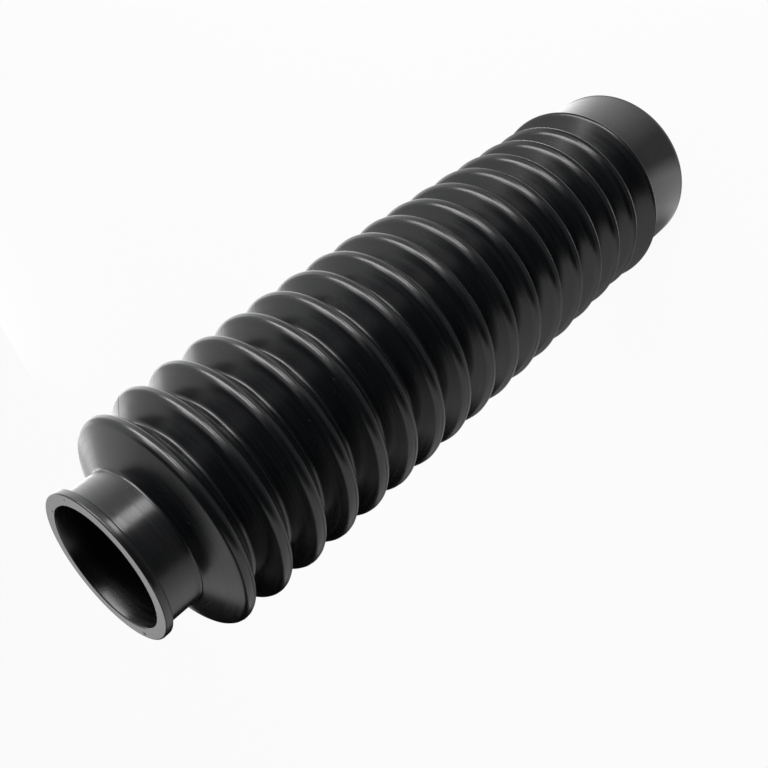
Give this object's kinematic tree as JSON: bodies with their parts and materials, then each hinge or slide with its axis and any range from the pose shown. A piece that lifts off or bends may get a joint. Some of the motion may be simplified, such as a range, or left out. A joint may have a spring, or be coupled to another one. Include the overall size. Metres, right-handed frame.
{
  "type": "fork gaiter",
  "caption": "One-piece moulded rubber bellows sleeve with a flanged collar at one end and a wider plain cuff at the other.",
  "frame": {"origin": "centre of the wide cuff's rim, where the gaiter stands", "axes": "+Z along the axis, from the wide cuff up to the flanged collar; X and Y are any two directions square to it, because the gaiter is round"},
  "size_m": [0.0706, 0.0706, 0.252],
  "materials": {
    "rubber": "satin black moulded rubber"
  },
  "bodies": {
    "root": {"gaiter": "rubber"}
  },
  "joints": []
}
